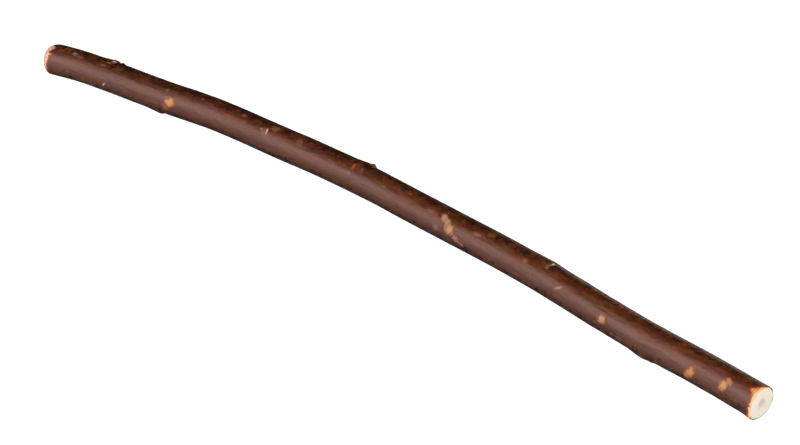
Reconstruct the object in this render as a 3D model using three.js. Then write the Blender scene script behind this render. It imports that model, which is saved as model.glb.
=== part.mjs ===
// One cut twig: a bare length of a young hardwood shoot, bark on, sawn across at the thick base
// and at the thin growing tip. Bark, inner bark, wood and pith grew together, so it is one solid.
// Millimetres, +Z up. The twig lies on z = 0 with its chord along X, the base at -X and the tip
// at +X, bowed towards +Y. The origin is under the middle of its box.

import * as THREE from "three";

// ---- Driving dimensions -------------------------------------------------------------------

const BASE_RADIUS = 7.62;
const TIP_RADIUS = 7.04;

// The pith's route from base to tip, as [along the chord, out of it, clear of the ground].
// It bends a little at each joint of the shoot, and touches down only where the last is 0.
const ROUTE = [
  [0, 0.1, 0.3],
  [20, 5.3, 0],
  [42, 8.1, 0.15],
  [57, 9.4, 0.25],
  [75, 11.5, 0.35],
  [103, 15.0, 0.45],
  [137, 16.5, 0.3],
  [165, 17.7, 0.1],
  [194, 17.7, 0],
  [220, 16.0, 0.15],
  [246, 14.4, 0.35],
  [272, 12.8, 0.5],
  [299, 10.2, 0.5],
  [329, 6.2, 0.35],
  [357, 3.4, 0.15],
  [380, 2.0, 0],
  [405.8, -0.7, 0.1],
];

// Each joint of the shoot, where a leaf and its bud once sat, swells slowly on the base side,
// and drops away on the tip side. at, ramp and drop are lengths along the twig. clock is the
// angle from the top in degrees, positive towards -Y, and spread is half the swelling's width.
const JOINTS = [
  { at: 17, clock: -105, ramp: 9, drop: 3, spread: 50, height: 0.5 },
  { at: 40.3, clock: -32, ramp: 9, drop: 4, spread: 48, height: 0.55 },
  { at: 73, clock: 128, ramp: 11, drop: 2, spread: 46, height: 0.8 },
  { at: 104, clock: -112, ramp: 10, drop: 3, spread: 50, height: 0.6 },
  { at: 135, clock: 35, ramp: 10, drop: 3, spread: 46, height: 0.35 },
  { at: 164, clock: -128, ramp: 9, drop: 3, spread: 46, height: 0.5 },
  { at: 193, clock: -38, ramp: 13, drop: 2.2, spread: 44, height: 1.0 },
  { at: 245, clock: 48, ramp: 9, drop: 6, spread: 55, height: 0.25 },
  { at: 272, clock: -120, ramp: 10, drop: 3, spread: 48, height: 0.55 },
  { at: 297, clock: -36, ramp: 12, drop: 8, spread: 48, height: 0.42 },
  { at: 329, clock: -98, ramp: 10, drop: 3, spread: 48, height: 0.55 },
  { at: 354, clock: 126, ramp: 9, drop: 7, spread: 46, height: 0.8 },
  { at: 383, clock: -104, ramp: 9, drop: 3, spread: 46, height: 0.45 },
];

// The cutter bruised the bark outwards on one side of the tip's rim.
const TIP_FLARE = { clock: 118, ramp: 5, spread: 60, height: 0.6 };

// The base end is worn thinner on one side.
const BASE_WEAR = { clock: -40, ramp: 8, spread: 80, height: -1.4 };

// The worn, rounded base end, as [share of the radius, distance from the end].
const BASE_END = [
  [0, 0],
  [0.5, 0.2],
  [0.8, 0.75],
  [0.93, 1.5],
  [0.985, 2.6],
];

const CUT_RIM = 0.3;
const CUT_RIM_SHARE = 0.955;

// The cuts are a little askew. inset is how far an end stands in from the pith's end, and skew
// how much farther its rim does at that clock angle. Both die away over the cut stretch.
const END_CUTS = {
  base: { inset: 2.5, skew: 0.65, clock: -150 },
  tip: { inset: -0.45, skew: 0.69, clock: 45 },
};
const CUT_STRETCH = 6;

const RING_STEP = 3.4;
const SIDES = 22;

// ---- The pith's route ---------------------------------------------------------------------

const taper = (share) => THREE.MathUtils.lerp(BASE_RADIUS, TIP_RADIUS, share);

const chord = ROUTE[ROUTE.length - 1][0];
const routePoints = ROUTE.map(([along, out, clear]) => (
  new THREE.Vector3(along, out, taper(along / chord) + clear)
));
const pith = new THREE.CatmullRomCurve3(routePoints, false, "catmullrom", 0.5);
pith.arcLengthDivisions = 3000;
const LENGTH = pith.getLength();

// ---- The twig's radius at any place on its bark ---------------------------------------------

// 1 on the joint's own clock angle, falling smoothly to 0 at its spread.
function aroundShare(clock, feature) {
  const turn = THREE.MathUtils.euclideanModulo(clock - feature.clock + 180, 360) - 180;
  return 1 - THREE.MathUtils.smoothstep(Math.abs(turn), 0, feature.spread);
}

function jointHeight(station, clock, joint) {
  const rise = THREE.MathUtils.smoothstep(station, joint.at - joint.ramp, joint.at);
  const fall = THREE.MathUtils.smoothstep(station, joint.at, joint.at + joint.drop);
  return joint.height * rise * (1 - fall) * aroundShare(clock, joint);
}

function barkRadius(station, clock) {
  let radius = taper(station / LENGTH);
  for (const joint of JOINTS) {
    radius += jointHeight(station, clock, joint);
  }
  const flare = THREE.MathUtils.smoothstep(station, LENGTH - TIP_FLARE.ramp, LENGTH);
  radius += TIP_FLARE.height * flare * aroundShare(clock, TIP_FLARE);
  const wear = 1 - THREE.MathUtils.smoothstep(station, 0, BASE_WEAR.ramp);
  return radius + BASE_WEAR.height * wear * aroundShare(clock, BASE_WEAR);
}

// ---- The straight twig, as a lathe of radius 1 along its own length -------------------------

// Rings at a regular step, and closer ones on each joint's rise and fall.
function ringStations() {
  const first = BASE_END[BASE_END.length - 1][1] + RING_STEP / 2;
  const last = LENGTH - RING_STEP / 2;
  const stations = [];
  for (let station = first; station < last; station += RING_STEP) {
    stations.push(station);
  }
  for (const joint of JOINTS) {
    const own = [joint.at - joint.ramp / 3, joint.at, joint.at + joint.drop / 2, joint.at + joint.drop];
    for (const station of own) {
      const nearest = stations.findIndex((other) => Math.abs(other - station) < RING_STEP / 4);
      if (nearest >= 0) {
        stations[nearest] = station;
      } else {
        stations.push(station);
      }
    }
  }
  return stations.sort((a, b) => a - b);
}

function straightTwig() {
  const profile = [
    ...BASE_END,
    ...ringStations().map((station) => [1, station]),
    [1, LENGTH - CUT_RIM],
    [CUT_RIM_SHARE, LENGTH],
    [CUT_RIM_SHARE / 2, LENGTH],
    [0, LENGTH],
  ];
  return new THREE.LatheGeometry(profile.map(([share, station]) => new THREE.Vector2(share, station)), SIDES);
}

// ---- The two cut ends -----------------------------------------------------------------------

// How far an end's cut moves a place on the twig into the twig, at this distance from the end.
function cutInset(cut, fromEnd, share, turn) {
  const weight = 1 - THREE.MathUtils.smoothstep(fromEnd, 0, CUT_STRETCH);
  return weight * (cut.inset + cut.skew * share * Math.cos(turn - THREE.MathUtils.degToRad(cut.clock)));
}

// ---- Bend it along the route ------------------------------------------------------------------

// The lathe's own height becomes the station, and its turn becomes the clock angle.
function bendAlongPith(geometry) {
  const up = new THREE.Vector3(0, 0, 1);
  const places = geometry.getAttribute("position");
  const point = new THREE.Vector3();
  for (let i = 0; i < places.count; i += 1) {
    point.fromBufferAttribute(places, i);
    const station = point.y;
    const share = Math.hypot(point.x, point.z);
    const turn = Math.atan2(point.x, point.z);
    const reach = share * barkRadius(station, THREE.MathUtils.radToDeg(turn));

    const along = THREE.MathUtils.clamp(station / LENGTH, 0, 1);
    const heading = pith.getTangentAt(along);
    const outward = new THREE.Vector3().crossVectors(up, heading).normalize();
    const above = new THREE.Vector3().crossVectors(heading, outward);
    point.copy(pith.getPointAt(along));
    point.addScaledVector(above, reach * Math.cos(turn));
    point.addScaledVector(outward, -reach * Math.sin(turn));
    point.addScaledVector(heading, cutInset(END_CUTS.base, station, share, turn));
    point.addScaledVector(heading, -cutInset(END_CUTS.tip, LENGTH - station, share, turn));
    places.setXYZ(i, point.x, point.y, point.z);
  }
  geometry.computeVertexNormals();
}

// ---- Put the origin under the middle of the box --------------------------------------------

function standOnOrigin(geometry) {
  geometry.computeBoundingBox();
  const box = geometry.boundingBox;
  const middle = box.getCenter(new THREE.Vector3());
  geometry.translate(-middle.x, -middle.y, -box.min.z);
}

const twigGeometry = straightTwig();
bendAlongPith(twigGeometry);
standOnOrigin(twigGeometry);

const bark = new THREE.MeshStandardMaterial({ color: 0x54352b, roughness: 0.5, metalness: 0 });
const twig = new THREE.Mesh(twigGeometry, bark);
twig.name = "twig";

const group = new THREE.Group();
group.add(twig);

export default group;
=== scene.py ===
# A cut twig, bark on, lying on a pale floor. Metres, +Z up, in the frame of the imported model:
# the thick base end at -X, the thinner growing tip at +X, bowed towards +Y.

import math

import bpy
import numpy as np
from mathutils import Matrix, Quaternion, Vector


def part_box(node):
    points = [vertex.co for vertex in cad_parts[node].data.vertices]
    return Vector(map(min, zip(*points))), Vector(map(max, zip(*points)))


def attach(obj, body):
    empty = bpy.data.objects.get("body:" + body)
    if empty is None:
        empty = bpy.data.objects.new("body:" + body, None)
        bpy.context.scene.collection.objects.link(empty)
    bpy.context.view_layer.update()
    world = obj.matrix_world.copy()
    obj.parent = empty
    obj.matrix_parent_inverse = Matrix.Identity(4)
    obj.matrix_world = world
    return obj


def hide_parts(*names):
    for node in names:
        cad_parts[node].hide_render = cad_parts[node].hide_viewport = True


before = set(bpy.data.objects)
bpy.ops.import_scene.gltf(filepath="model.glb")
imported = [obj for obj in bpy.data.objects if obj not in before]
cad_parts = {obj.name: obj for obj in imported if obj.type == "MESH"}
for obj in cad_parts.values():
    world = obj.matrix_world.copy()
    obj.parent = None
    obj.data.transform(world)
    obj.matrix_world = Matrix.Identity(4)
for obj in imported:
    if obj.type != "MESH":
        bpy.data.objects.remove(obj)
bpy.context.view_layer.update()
MM = 0.001


# ---- Camera ---------------------------------------------------------------------------------
# A long lens above and in front of the twig, nearer its growing tip, with no roll.

AIM_PAST_MIDDLE = 17.78 * MM
AIM_IN_FRONT = 5.78 * MM
AIM_HEIGHT = 7.42 * MM
VIEW_TURN = math.radians(39.82)
VIEW_HEIGHT = math.radians(35.0)
VIEW_DISTANCE = 888.65 * MM
LENS_ANGLE = math.radians(22.0)


def in_scene(name, data):
    """A new object that holds this data, placed in the scene at the origin."""
    thing = bpy.data.objects.new(name, data)
    bpy.context.scene.collection.objects.link(thing)
    return thing


twig_low, twig_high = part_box("twig")
twig_middle = (twig_low + twig_high) / 2
aim = Vector((twig_middle.x + AIM_PAST_MIDDLE, twig_middle.y - AIM_IN_FRONT, AIM_HEIGHT))
towards_camera = Vector((
    math.cos(VIEW_HEIGHT) * math.sin(VIEW_TURN),
    -math.cos(VIEW_HEIGHT) * math.cos(VIEW_TURN),
    math.sin(VIEW_HEIGHT),
))
camera_data = bpy.data.cameras.new("camera")
camera_data.sensor_width = 36
camera_data.lens = camera_data.sensor_width / 2 / math.tan(LENS_ANGLE / 2)
camera_data.clip_start = 0.05
camera = in_scene("camera", camera_data)
camera.location = aim + towards_camera * VIEW_DISTANCE
camera.rotation_euler = (-towards_camera).to_track_quat("-Z", "Y").to_euler()
bpy.context.scene.camera = camera


# ---- The pith's route -----------------------------------------------------------------------
# The soft core that the shoot grew around. It runs from base to tip, turns a little at each
# joint of the shoot, and only guides the bark and wood here: it shows at the cut ends.

BASE_RADIUS = 7.62 * MM
TIP_RADIUS = 7.04 * MM
# Where it turns: along the chord, out of it, and clear of the ground, in millimetres.
ROUTE = [
    (0, 0.1, 0.3), (20, 5.3, 0), (42, 8.1, 0.15), (57, 9.4, 0.25), (75, 11.5, 0.35),
    (103, 15.0, 0.45), (137, 16.5, 0.3), (165, 17.7, 0.1), (194, 17.7, 0), (220, 16.0, 0.15),
    (246, 14.4, 0.35), (272, 12.8, 0.5), (299, 10.2, 0.5), (329, 6.2, 0.35), (357, 3.4, 0.15),
    (380, 2.0, 0), (405.8, -0.7, 0.1),
]
STEPS_PER_STRETCH = 60


def smooth_route(points, steps):
    """Points on the Catmull-Rom curve through these, each stretch cut into equal steps."""
    ends = [2 * points[0] - points[1], *points, 2 * points[-1] - points[-2]]
    share = np.arange(steps)[:, None] / steps
    stretches = []
    for before, start, end, after in zip(ends, ends[1:], ends[2:], ends[3:]):
        leave, arrive = (end - before) / 2, (after - start) / 2
        bend = 3 * (end - start) - 2 * leave - arrive
        turn = 2 * (start - end) + leave + arrive
        stretches.append(start + leave * share + bend * share**2 + turn * share**3)
    return np.vstack([*stretches, points[-1:]])


route = np.array(ROUTE) * MM
chord = route[-1, 0]
route[:, 2] += BASE_RADIUS + (TIP_RADIUS - BASE_RADIUS) * route[:, 0] / chord
pith_points = smooth_route(route, STEPS_PER_STRETCH)
step_lengths = np.linalg.norm(np.diff(pith_points, axis=0), axis=1)
TWIG_LENGTH = float(step_lengths.sum())

pith_curve = bpy.data.curves.new("pith route", "CURVE")
pith_curve.dimensions = "3D"
spline = pith_curve.splines.new("POLY")
spline.points.add(len(pith_points) - 1)
for spline_point, place in zip(spline.points, pith_points):
    spline_point.co = (*place, 1)
pith = in_scene("pith route", pith_curve)


# ---- The twig: one grown piece of bark, inner bark, wood and pith ---------------------------
# A straight blank of radius 1 is turned like a lathe piece, then swelled at its joints,
# wrinkled, chipped at its rims and bent along the pith. Bark lies over a tan inner bark.

SIDES = 124
FINE_STEP = 0.36 * MM
COARSE_STEP = 1.05 * MM
# The rings stand close together for this far in from each end, before and past each joint's
# crest, and past both ends of each patch where at least this share of the bark is gone.
END_DETAIL = 9 * MM
BEFORE_CREST = 3 * MM
PAST_CREST = 5 * MM
PAST_PATCH = 0.7 * MM
BARED = 0.75

# Where a leaf and its bud once sat. The bark swells slowly on the base side and drops away on
# the tip side, and the bud's stump stands on or past the crest. at, ramp, drop and bud_at are
# millimetres along the twig; clock is degrees from the top, positive towards -Y; spread is
# half the swelling's width in degrees; height, lip and bud are millimetres out from the bark.
JOINTS = [
    dict(at=17, clock=-105, ramp=9, drop=3, spread=50, height=0.5, lip=0.12, bud=0.35, bud_at=2.6),
    dict(at=39.4, clock=-32, ramp=10, drop=1.3, spread=48, height=0.6, lip=0.25, bud=0.55, bud_at=4.1),
    dict(at=73, clock=128, ramp=11, drop=2, spread=46, height=0.75, lip=0.12, bud=0.12, bud_at=3.6),
    dict(at=104, clock=-112, ramp=10, drop=3, spread=50, height=0.6, lip=0.12, bud=0.4, bud_at=2.6),
    dict(at=135, clock=35, ramp=10, drop=3, spread=46, height=0.3, lip=0.06, bud=0.1, bud_at=2.8),
    dict(at=164, clock=-128, ramp=9, drop=3, spread=46, height=0.5, lip=0.12, bud=0.4, bud_at=2.4),
    dict(at=192.1, clock=-38, ramp=13, drop=1.2, spread=46, height=0.75, lip=0.08, bud=0.52, bud_at=0.0),
    dict(at=245, clock=48, ramp=9, drop=6, spread=55, height=0.25, lip=0.1, bud=0.05, bud_at=3.0),
    dict(at=272, clock=-120, ramp=10, drop=3, spread=48, height=0.55, lip=0.12, bud=0.4, bud_at=2.6),
    dict(at=297, clock=-36, ramp=12, drop=8, spread=48, height=0.42, lip=0.04, bud=0.04, bud_at=2.2),
    dict(at=329, clock=-98, ramp=10, drop=3, spread=48, height=0.55, lip=0.12, bud=0.4, bud_at=2.6),
    dict(at=354, clock=126, ramp=9, drop=7, spread=46, height=0.75, lip=0.08, bud=0.3, bud_at=5.2),
    dict(at=383, clock=-104, ramp=9, drop=3, spread=46, height=0.45, lip=0.12, bud=0.35, bud_at=2.6),
]

# Rubbed and stained places: where, half-sizes along and around in mm, colour, how far the
# outer bark is gone (1 is bare inner bark, under 0.5 only a stain). lean turns a patch on the
# bark, in degrees: under 0 its upper end stands nearer to the tip.
PATCHES = [
    dict(at=18.8, clock=14, long=1.6, wide=1.1, colour="#8a7068", gone=0.45),
    dict(at=22.5, clock=20, long=2.0, wide=0.8, colour="#7a4a48", gone=0.4),
    dict(at=36.8, clock=22, long=2.0, wide=0.6, colour="#824637", gone=0.45),
    dict(at=38.6, clock=2, long=1.9, wide=0.5, colour="#8a6450", gone=0.5),
    dict(at=39.8, clock=-17, long=1.3, wide=1.4, colour="#a19384", gone=0.8),
    dict(at=40.4, clock=90, long=0.40, wide=1.6, colour="#ac8a7d", gone=0.9, lean=-48),
    dict(at=43.9, clock=77, long=3.3, wide=2.5, colour="#2f2a37", gone=0.6, lean=-10),
    dict(at=46.6, clock=9, long=2.6, wide=2.0, colour="#523e22", gone=0.35, lean=25),
    dict(at=76.7, clock=28, long=0.9, wide=1.2, colour="#805f52", gone=0.35),
    dict(at=79.9, clock=68, long=3.1, wide=2.3, colour="#9f6e48", gone=1.0, lean=20),
    dict(at=77.9, clock=87, long=1.9, wide=2.2, colour="#87451e", gone=0.65),
    dict(at=76.4, clock=112, long=1.5, wide=2.0, colour="#4c2511", gone=0.6),
    dict(at=120.9, clock=12, long=1.5, wide=1.2, colour="#7b6350", gone=0.4),
    dict(at=133.4, clock=33, long=0.7, wide=0.6, colour="#8a6a66", gone=0.5),
    dict(at=136.7, clock=33, long=0.6, wide=1.7, colour="#a67c66", gone=0.75, lean=12),
    dict(at=139.9, clock=9, long=2.4, wide=2.1, colour="#6f4914", gone=0.62, lean=30),
    dict(at=155.1, clock=20, long=2.2, wide=2.4, colour="#664a3c", gone=0.3, lean=35),
    dict(at=186.3, clock=18, long=0.8, wide=1.8, colour="#8f4c1c", gone=0.6, lean=15),
    dict(at=188.8, clock=3, long=1.5, wide=1.7, colour="#682e06", gone=0.45, lean=20),
    dict(at=191.4, clock=16, long=0.9, wide=2.0, colour="#67483a", gone=0.45, lean=20),
    dict(at=185.8, clock=46, long=1.7, wide=1.3, colour="#85453c", gone=0.33),
    dict(at=234.8, clock=34, long=2.6, wide=0.8, colour="#8c4a3e", gone=0.4),
    dict(at=237.3, clock=104, long=2.2, wide=1.4, colour="#343a24", gone=0.5),
    dict(at=240.0, clock=75, long=1.7, wide=1.8, colour="#7d5f58", gone=0.35),
    dict(at=242.2, clock=31, long=1.6, wide=2.2, colour="#946f5b", gone=0.85, lean=28),
    dict(at=244.8, clock=41, long=1.5, wide=1.9, colour="#97704e", gone=0.8, lean=34),
    dict(at=247.2, clock=61, long=2.3, wide=2.2, colour="#936d45", gone=1.0, lean=24),
    dict(at=247.0, clock=101, long=2.6, wide=1.2, colour="#3a3823", gone=0.5),
    dict(at=251.2, clock=80, long=1.4, wide=1.9, colour="#94665a", gone=0.55, lean=55),
    dict(at=254.6, clock=89, long=1.0, wide=1.8, colour="#8d6056", gone=0.5, lean=70),
    dict(at=266.5, clock=6, long=2.2, wide=1.9, colour="#744214", gone=0.45, lean=30),
    dict(at=260.8, clock=31, long=2.4, wide=1.1, colour="#8c5245", gone=0.35),
    dict(at=298.6, clock=-14, long=0.8, wide=1.1, colour="#cabda9", gone=0.85),
    dict(at=295.6, clock=4, long=1.0, wide=1.6, colour="#5e4222", gone=0.4, lean=30),
    dict(at=298.0, clock=9, long=1.1, wide=1.5, colour="#7d6054", gone=0.45, lean=15),
    dict(at=288.0, clock=31, long=1.7, wide=1.3, colour="#905325", gone=0.36),
    dict(at=308.8, clock=52, long=0.7, wide=2.5, colour="#986c61", gone=0.55, lean=-52),
    dict(at=333.4, clock=67, long=1.9, wide=2.0, colour="#946848", gone=1.0, lean=-6),
    dict(at=343.0, clock=98, long=1.8, wide=1.2, colour="#56543c", gone=0.45),
    dict(at=354.6, clock=128, long=1.8, wide=1.6, colour="#6f6856", gone=0.55),
    dict(at=362.1, clock=110, long=1.4, wide=1.1, colour="#63543f", gone=0.5),
    dict(at=378.3, clock=76, long=1.7, wide=2.9, colour="#98693a", gone=1.0, lean=-12),
    dict(at=376.9, clock=89, long=1.5, wide=1.9, colour="#9c5c35", gone=0.85, lean=8),
    dict(at=394.0, clock=59, long=1.8, wide=2.5, colour="#976e49", gone=1.0, lean=-12),
    dict(at=395.4, clock=39, long=1.7, wide=1.4, colour="#8e5f3b", gone=0.8, lean=-30),
    # On the side that lies away from the light.
    dict(at=62, clock=-82, long=2.0, wide=2.2, colour="#b28053", gone=1.0),
    dict(at=124, clock=-150, long=1.6, wide=1.8, colour="#a5754c", gone=0.9),
    dict(at=178, clock=-88, long=3.0, wide=2.4, colour="#716352", gone=0.4),
    dict(at=214, clock=-120, long=2.1, wide=1.8, colour="#b38153", gone=1.0),
    dict(at=233, clock=165, long=1.5, wide=2.0, colour="#9e724f", gone=0.9),
    dict(at=287, clock=-78, long=1.2, wide=2.2, colour="#ad7e5b", gone=0.9),
    dict(at=312, clock=-140, long=2.4, wide=2.0, colour="#ad784c", gone=1.0),
    dict(at=347, clock=-66, long=3.0, wide=1.6, colour="#6c4a1a", gone=0.45),
    dict(at=371, clock=-150, long=1.9, wide=2.4, colour="#b28053", gone=1.0),
]

# The cuts are a little askew: how far each end stands in from the pith's end, and how far its
# face leans in on the side at this clock angle. The change dies away over the last stretch.
END_CUTS = {"base": dict(inset=2.5 * MM, skew=0.65 * MM, clock=-150),
            "tip": dict(inset=-0.45 * MM, skew=0.69 * MM, clock=45)}
CUT_STRETCH = 6 * MM

# The straight blank's two ends, as (share of the radius, distance from the end in mm).
BASE_END = [(0.25, 0.02), (0.5, 0.12), (0.65, 0.28), (0.8, 0.62), (0.87, 0.95), (0.93, 1.45),
            (0.965, 1.95), (0.985, 2.6), (0.996, 3.2)]
TIP_END = [(0.99, 0.3), (0.972, 0.14), (0.955, 0.04), (0.91, 0), (0.85, 0), (0.76, 0), (0.66, 0), (0.56, 0),
           (0.45, 0), (0.35, 0), (0.26, 0), (0.19, 0), (0.14, 0), (0.09, 0), (0.045, 0)]


def srgb(code):
    """A hex colour as the linear colour that a shader takes."""
    shares = [int(code[i:i + 2], 16) / 255 for i in (1, 3, 5)]
    return (*[s / 12.92 if s <= 0.04045 else ((s + 0.055) / 1.055) ** 2.4 for s in shares], 1)


def out_at(clock):
    """The direction straight out of the blank at this clock angle, in radians."""
    return 0, -math.sin(clock), math.cos(clock)


def ring_stations():
    """Rings close together where the bark has detail, and wider apart between."""
    start, end = BASE_END[-1][1] * MM, TWIG_LENGTH - TIP_END[0][1] * MM
    detail = [(0, END_DETAIL), (TWIG_LENGTH - END_DETAIL, TWIG_LENGTH)]
    detail += [(joint["at"] * MM - BEFORE_CREST, joint["at"] * MM + PAST_CREST) for joint in JOINTS]
    detail += [((patch["at"] - patch["long"]) * MM - PAST_PATCH,
                (patch["at"] + patch["long"]) * MM + PAST_PATCH)
               for patch in PATCHES if patch["gone"] >= BARED]
    stations = []
    station = start + FINE_STEP
    while station < end - FINE_STEP / 2:
        stations.append(station)
        fine = any(low <= station <= high for low, high in detail)
        station += FINE_STEP if fine else COARSE_STEP
    return stations


# Every ring of the blank, from the base's centre to the tip's, as (share of radius, station).
rings = [(share, into * MM) for share, into in BASE_END]
rings += [(1.0, station) for station in ring_stations()]
rings += [(share, TWIG_LENGTH - into * MM) for share, into in TIP_END]
# Bark and cut face meet at the sixth ring of the base's worn rim, and at the tip's second ring.
first_bark_ring = 5
last_bark_ring = len(rings) - len(TIP_END) + 1

turns = np.arange(SIDES) * 2 * math.pi / SIDES
blank_places = [(0, 0, 0)]
for share, station in rings:
    blank_places += [(station, -share * math.sin(turn), share * math.cos(turn)) for turn in turns]
blank_places.append((TWIG_LENGTH, 0, 0))

faces = []
face_ring = []
for side in range(SIDES):
    after = (side + 1) % SIDES
    faces.append((0, 1 + side, 1 + after))
    face_ring.append(-1)
    for ring in range(len(rings) - 1):
        here, there = 1 + ring * SIDES, 1 + (ring + 1) * SIDES
        faces.append((here + side, there + side, there + after, here + after))
        face_ring.append(ring)
    last = 1 + (len(rings) - 1) * SIDES
    faces.append((last + side, len(blank_places) - 1, last + after))
    face_ring.append(len(rings) - 1)

twig_mesh = bpy.data.meshes.new("twig")
twig_mesh.from_pydata(blank_places, [], faces, shade_flat=False)
twig_mesh.validate()
face_ring = np.array(face_ring)

# The map for baking: the bark as three strips one above another, and each end as a disc.
MAP_SIDE = 157 * MM
STRIPS = 3
STRIPS_LEFT = 2 * MM
STRIPS_BOTTOM = 1 * MM
STRIP_GAP = 1.5 * MM
DISC_CENTRES = [(0.945, 0.06), (0.945, 0.18)]
profile = np.array([(share * BASE_RADIUS, station) for share, station in rings])
profile_lengths = np.concatenate([[0], np.cumsum(np.linalg.norm(np.diff(profile, axis=0), axis=1))])
bark_start = profile_lengths[first_bark_ring]
strip_length = (profile_lengths[last_bark_ring] - bark_start) / STRIPS
strip_height = 2 * math.pi * BASE_RADIUS
uv_map = twig_mesh.uv_layers.new(name="OFBake")
loop_vertices = np.zeros(len(twig_mesh.loops), int)
twig_mesh.loops.foreach_get("vertex_index", loop_vertices)
loop_places = np.zeros((len(loop_vertices), 2))
for polygon, ring in zip(twig_mesh.polygons, face_ring):
    loops = list(polygon.loop_indices)
    corners = loop_vertices[loops]
    corner_rings = (corners - 1) // SIDES
    corner_sides = (corners - 1) % SIDES
    if first_bark_ring <= ring < last_bark_ring:
        strip = min(int((profile_lengths[ring] - bark_start) / strip_length), STRIPS - 1)
        if 0 in corner_sides and SIDES - 1 in corner_sides:
            corner_sides = np.where(corner_sides == 0, SIDES, corner_sides)
        across = corner_sides / SIDES * strip_height
        along = profile_lengths[corner_rings] - bark_start - strip * strip_length
        loop_places[loops, 0] = (along + STRIPS_LEFT) / MAP_SIDE
        loop_places[loops, 1] = (across + strip * (strip_height + STRIP_GAP) + STRIPS_BOTTOM) / MAP_SIDE
    else:
        at_tip = ring >= last_bark_ring
        for loop, corner in zip(loops, corners):
            if corner in (0, len(blank_places) - 1):
                reach, turn = 0.0, 0.0
            else:
                ring_here = (corner - 1) // SIDES
                turn = turns[(corner - 1) % SIDES]
                reach = rings[ring_here][0] * BASE_RADIUS
            centre = DISC_CENTRES[int(at_tip)]
            loop_places[loop] = (centre[0] + reach * math.cos(turn) / MAP_SIDE,
                                 centre[1] + reach * math.sin(turn) / MAP_SIDE)
uv_map.data.foreach_set("uv", loop_places.ravel())

cut_face = twig_mesh.attributes.new("cut face", "BOOLEAN", "FACE")
cut_rings = (face_ring < first_bark_ring) | (face_ring >= last_bark_ring)
cut_face.data.foreach_set("value", cut_rings)

twig = in_scene("twig_piece", twig_mesh)


def marks_cloud(name, rows, numbers):
    """Points on the straight twig's bark, each carrying its own row's numbers."""
    mesh = bpy.data.meshes.new(name)
    places = []
    for row in rows:
        _, left, up = out_at(math.radians(row["clock"]))
        places.append((row["at"] * MM, BASE_RADIUS * left, BASE_RADIUS * up))
    mesh.from_pydata(places, [], [])
    for key, unit in numbers.items():
        values = mesh.attributes.new(key, "FLOAT", "POINT").data
        values.foreach_set("value", [row[key] * unit for row in rows])
    if "colour" in rows[0]:
        tones = mesh.attributes.new("colour", "FLOAT_COLOR", "POINT").data
        tones.foreach_set("color", np.array([srgb(row["colour"]) for row in rows]).ravel())
    return in_scene(name, mesh)


DEGREE = math.pi / 180
joint_marks = marks_cloud("joint marks", JOINTS,
                          dict(at=MM, clock=DEGREE, ramp=MM, drop=MM, spread=DEGREE, height=MM,
                               lip=MM, bud=MM, bud_at=1))
patch_marks = marks_cloud("patch marks", [{"lean": 0, **patch} for patch in PATCHES],
                          dict(at=MM, clock=DEGREE, long=MM, wide=MM, gone=1, lean=DEGREE))


def add(tree, kind, inputs=None, **settings):
    """Add a node. An input takes a number, a colour, another node's first output or a socket."""
    node = tree.nodes.new(kind)
    for name, value in settings.items():
        setattr(node, name, value)
    for key, value in (inputs or {}).items():
        if isinstance(key, int):
            socket = node.inputs[key]
        else:
            socket = next(s for s in node.inputs if s.enabled and s.name == key)
        if isinstance(value, bpy.types.Node):
            value = next(s for s in value.outputs if s.enabled)
        if isinstance(value, bpy.types.NodeSocket):
            tree.links.new(value, socket)
        else:
            socket.default_value = value
    return node


def growing_tree(name, settings):
    """A geometry tree with a mesh in, a mesh out, and a named input for each setting."""
    tree = bpy.data.node_groups.new(name, "GeometryNodeTree")
    for way in ("INPUT", "OUTPUT"):
        tree.interface.new_socket("Geometry", in_out=way, socket_type="NodeSocketGeometry")
    for key, (kind, _) in settings.items():
        tree.interface.new_socket(key, in_out="INPUT", socket_type=kind)
    return tree


def grow_mesh(piece, tree, settings):
    """Run the piece through the tree with these settings, and keep the result as its mesh."""
    growing = piece.modifiers.new(tree.name, "NODES")
    growing.node_group = tree
    for item in tree.interface.items_tree:
        if item.in_out == "INPUT" and item.name in settings:
            growing[item.identifier] = settings[item.name][1]
    bpy.context.view_layer.update()
    seen = bpy.context.evaluated_depsgraph_get()
    grown = bpy.data.meshes.new_from_object(piece.evaluated_get(seen), preserve_all_data_layers=True,
                                            depsgraph=seen)
    piece.modifiers.clear()
    piece.data = grown


# Millimetres that every noise is shifted by along and up, so the stored "straight" place of a
# point starts at this number at the base.
SEED = 7.0
grow_settings = {
    "Pith": ("NodeSocketObject", pith),
    "Joints": ("NodeSocketObject", joint_marks),
    "Patches": ("NodeSocketObject", patch_marks),
    "Bark": ("NodeSocketMaterial", None),
    "Cut wood": ("NodeSocketMaterial", None),
    "Length": ("NodeSocketFloat", TWIG_LENGTH),
    "Base radius": ("NodeSocketFloat", BASE_RADIUS),
    "Tip radius": ("NodeSocketFloat", TIP_RADIUS),
    "Wrinkle depth": ("NodeSocketFloat", 0.045 * MM),
    "Bark thickness": ("NodeSocketFloat", 0.16 * MM),
    "Seed": ("NodeSocketFloat", SEED),
}
grow = growing_tree("Grow the twig", grow_settings)
given = add(grow, "NodeGroupInput").outputs

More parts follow.
